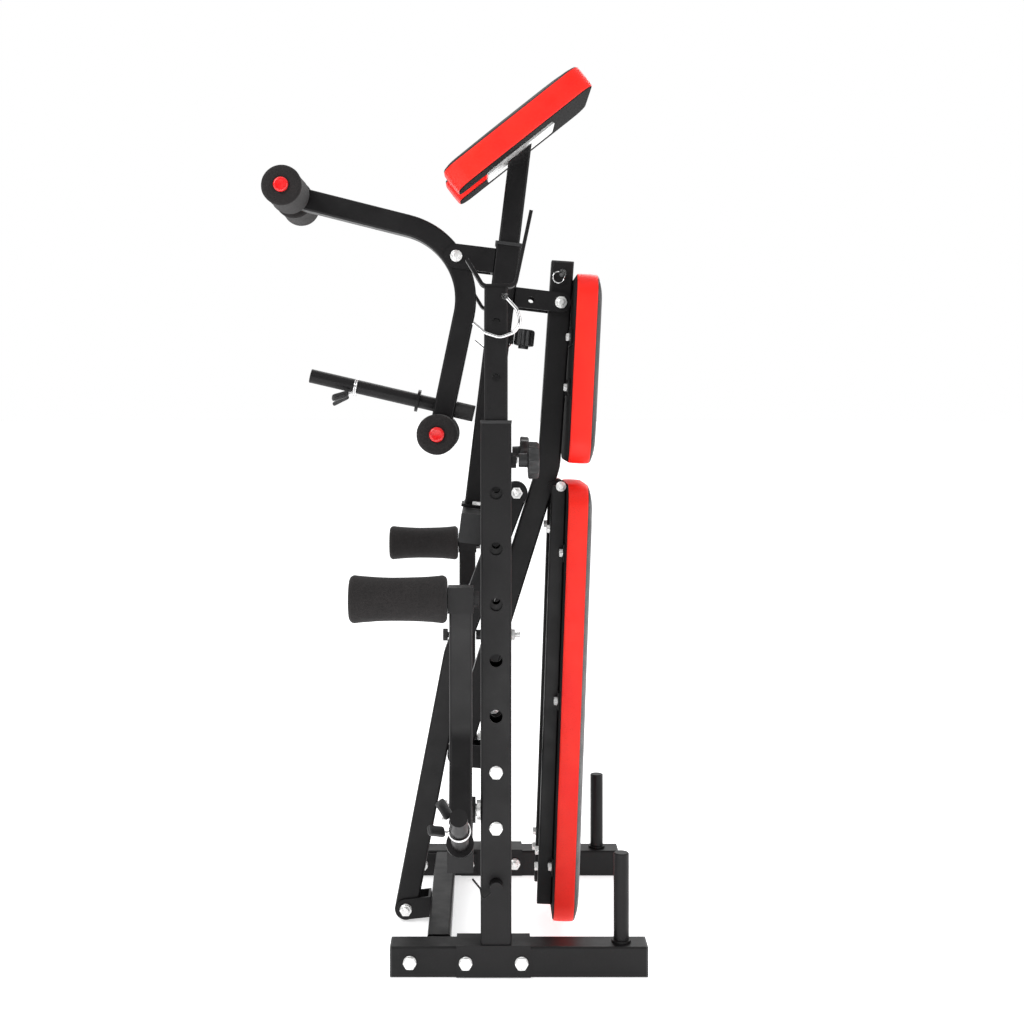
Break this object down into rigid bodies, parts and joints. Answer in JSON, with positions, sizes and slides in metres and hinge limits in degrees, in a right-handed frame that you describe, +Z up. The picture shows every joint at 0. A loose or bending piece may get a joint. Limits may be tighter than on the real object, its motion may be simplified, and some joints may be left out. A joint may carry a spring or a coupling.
{
  "type": "folding weight bench",
  "caption": "Folding adjustable weight bench with barbell rack, leg lever, preacher pad and butterfly arms, shown folded upright.",
  "frame": {"origin": "on the floor, under the middle of the folded bench's bounding box", "axes": "+Z up; the bench folds down towards -X and its seat faces +X when stored; +Y is the right hand of a person seated on it; symmetric about the XZ plane except the hitch-pin clip"},
  "size_m": [0.646, 1.3086, 1.516],
  "materials": {
    "black_steel": "satin",
    "bright_zinc": "bright",
    "black_plastic": "matte",
    "board": "black felt-covered board",
    "upholstery": "red and black vinyl",
    "foam": "matte foam",
    "red_cap": "gloss",
    "rubber": "matte"
  },
  "bodies": {
    "rack": {"foot_rail_left": "black_steel", "foot_rail_right": "black_steel", "foot_caps": "black_plastic", "upright_left": "black_steel", "upright_right": "black_steel", "upright_collars": "black_plastic", "front_cross_tube": "black_steel", "lower_crossbar": "black_steel", "foot_bolts": "bright_zinc", "plate_peg_left": "black_steel", "plate_peg_right": "black_steel", "rack_pivot_bolts": "bright_zinc", "flye_shafts": "bright_zinc"},
    "support_rod": {"support_rod": "black_steel"},
    "main_frame": {"main_tube": "black_steel", "main_tube_cap": "black_plastic", "column_spacers": "black_plastic", "main_frame_bolts": "bright_zinc", "seat_board": "board", "seat_pad": "upholstery"},
    "lock_pin": {"lock_pin": "bright_zinc"},
    "backrest": {"backrest_frame": "black_steel", "backrest_board": "board", "backrest_pad": "upholstery", "backrest_bolts": "bright_zinc"},
    "column": {"column_tube": "black_steel", "front_stabiliser": "black_steel", "stabiliser_caps": "black_plastic", "column_collar": "black_plastic", "column_bolts": "bright_zinc"},
    "clamp_knob": {"clamp_knob": "black_plastic"},
    "preacher": {"preacher_post": "black_steel", "preacher_board": "board", "preacher_pad": "upholstery"},
    "leg_lever": {"leg_lever": "black_steel", "lever_peg": "black_steel", "lever_bumper": "rubber"},
    "upper_roller": {"upper_roller_axle": "red_cap", "upper_roller_foams": "foam"},
    "lower_roller": {"lower_roller_axle": "red_cap", "lower_roller_foams": "foam"},
    "lever_collar": {"lever_collar": "bright_zinc"},
    "fold_link": {"fold_link": "black_steel", "link_bumper": "rubber"},
    "post_left": {"post_left": "black_steel", "bar_cradle_left": "black_steel"},
    "safety_hook_left": {"safety_hook_left": "bright_zinc"},
    "height_knob_left": {"height_knob_left": "black_plastic"},
    "flye_arm_left": {"flye_arm_left": "black_steel", "flye_peg_left": "black_steel"},
    "flye_foam_left": {"flye_foam_left": "foam"},
    "flye_collar_left": {"flye_collar_left": "bright_zinc"},
    "post_right": {"post_right": "black_steel", "bar_cradle_right": "black_steel"},
    "safety_hook_right": {"safety_hook_right": "bright_zinc"},
    "height_knob_right": {"height_knob_right": "black_plastic"},
    "flye_arm_right": {"flye_arm_right": "black_steel", "flye_peg_right": "black_steel"},
    "flye_foam_right": {"flye_foam_right": "foam"},
    "flye_collar_right": {"flye_collar_right": "bright_zinc"}
  },
  "joints": [
    {"name": "main_fold", "type": "hinge", "parent": "rack", "child": "main_frame", "pos_m": [0.013, 0, 0.298], "axis": [0, -1, 0], "range_deg": [0, 93.5]},
    {"name": "column_fold", "type": "hinge", "parent": "main_frame", "child": "column", "pos_m": [0.196, 0, 1.107], "axis": [0, -1, 0], "range_deg": [-89, 0]},
    {"name": "link_fold", "type": "hinge", "parent": "rack", "child": "fold_link", "pos_m": [-0.081, 0, 0.022], "axis": [0, -1, 0], "range_deg": [0, 100]},
    {"name": "backrest_tilt", "type": "hinge", "parent": "main_frame", "child": "backrest", "pos_m": [0.194, 0, 0.781], "axis": [0, -1, 0], "range_deg": [0, 36]},
    {"name": "lock_pin_turn", "type": "hinge", "parent": "main_frame", "child": "lock_pin", "pos_m": [0.1992, 0, 1.16], "axis": [0, 1, 0], "continuous": true},
    {"name": "support_rod_slide", "type": "slide", "parent": "rack", "child": "support_rod", "axis": [0, -1, 0], "range_m": [0, 0.6]},
    {"name": "clamp_knob_turn", "type": "hinge", "parent": "column", "child": "clamp_knob", "pos_m": [0.082, 0, 1.049], "axis": [0.9927, 0, -0.1209], "continuous": true},
    {"name": "preacher_height", "type": "slide", "parent": "column", "child": "preacher", "axis": [0.1209, 0, 0.9927], "range_m": [0, 0.09]},
    {"name": "lever_swing", "type": "hinge", "parent": "column", "child": "leg_lever", "pos_m": [0.009, 0, 1.191], "axis": [0, 1, 0], "range_deg": [0, 40]},
    {"name": "upper_roller_spin", "type": "hinge", "parent": "leg_lever", "child": "upper_roller", "pos_m": [-0.288, 0, 1.3], "axis": [0, 1, 0], "continuous": true},
    {"name": "lower_roller_spin", "type": "hinge", "parent": "leg_lever", "child": "lower_roller", "pos_m": [-0.022, 0, 0.873], "axis": [0, 1, 0], "continuous": true},
    {"name": "lever_collar_slide", "type": "slide", "parent": "leg_lever", "child": "lever_collar", "axis": [0.9741, 0, -0.2263], "range_m": [-0.06, 0.09]},
    {"name": "post_height_left", "type": "slide", "parent": "rack", "child": "post_left", "axis": [0, 0, 1], "range_m": [-0.18, 0.18]},
    {"name": "safety_hook_swing_left", "type": "hinge", "parent": "post_left", "child": "safety_hook_left", "pos_m": [0.092, -0.255, 1.098], "axis": [0, 1, 0], "range_deg": [-10, 90]},
    {"name": "height_knob_turn_left", "type": "hinge", "parent": "rack", "child": "height_knob_left", "pos_m": [0.11, -0.255, 0.833], "axis": [1, 0, 0], "continuous": true},
    {"name": "flye_swing_left", "type": "hinge", "parent": "rack", "child": "flye_arm_left", "pos_m": [0.024, -0.255, 0.264], "axis": [-1, 0, 0], "range_deg": [0, 28]},
    {"name": "flye_foam_spin_left", "type": "hinge", "parent": "flye_arm_left", "child": "flye_foam_left", "pos_m": [0.024, -0.465, 0.634], "axis": [1, 0, 0], "continuous": true},
    {"name": "flye_collar_slide_left", "type": "slide", "parent": "flye_arm_left", "child": "flye_collar_left", "axis": [0, -0.8626, 0.5059], "range_m": [-0.055, 0.05]},
    {"name": "post_height_right", "type": "slide", "parent": "rack", "child": "post_right", "axis": [0, 0, 1], "range_m": [-0.18, 0.18]},
    {"name": "safety_hook_swing_right", "type": "hinge", "parent": "post_right", "child": "safety_hook_right", "pos_m": [0.092, 0.255, 1.098], "axis": [0, 1, 0], "range_deg": [-10, 90]},
    {"name": "height_knob_turn_right", "type": "hinge", "parent": "rack", "child": "height_knob_right", "pos_m": [0.11, 0.255, 0.833], "axis": [1, 0, 0], "continuous": true},
    {"name": "flye_swing_right", "type": "hinge", "parent": "rack", "child": "flye_arm_right", "pos_m": [0.024, 0.255, 0.264], "axis": [1, 0, 0], "range_deg": [0, 28]},
    {"name": "flye_foam_spin_right", "type": "hinge", "parent": "flye_arm_right", "child": "flye_foam_right", "pos_m": [0.024, 0.465, 0.634], "axis": [1, 0, 0], "continuous": true},
    {"name": "flye_collar_slide_right", "type": "slide", "parent": "flye_arm_right", "child": "flye_collar_right", "axis": [0, 0.8626, 0.5059], "range_m": [-0.055, 0.05]}
  ],
  "couplings": [
    {"joint": "column_fold", "follows": "main_fold", "ratio": -0.945},
    {"joint": "link_fold", "follows": "main_fold", "ratio": 1.065}
  ]
}
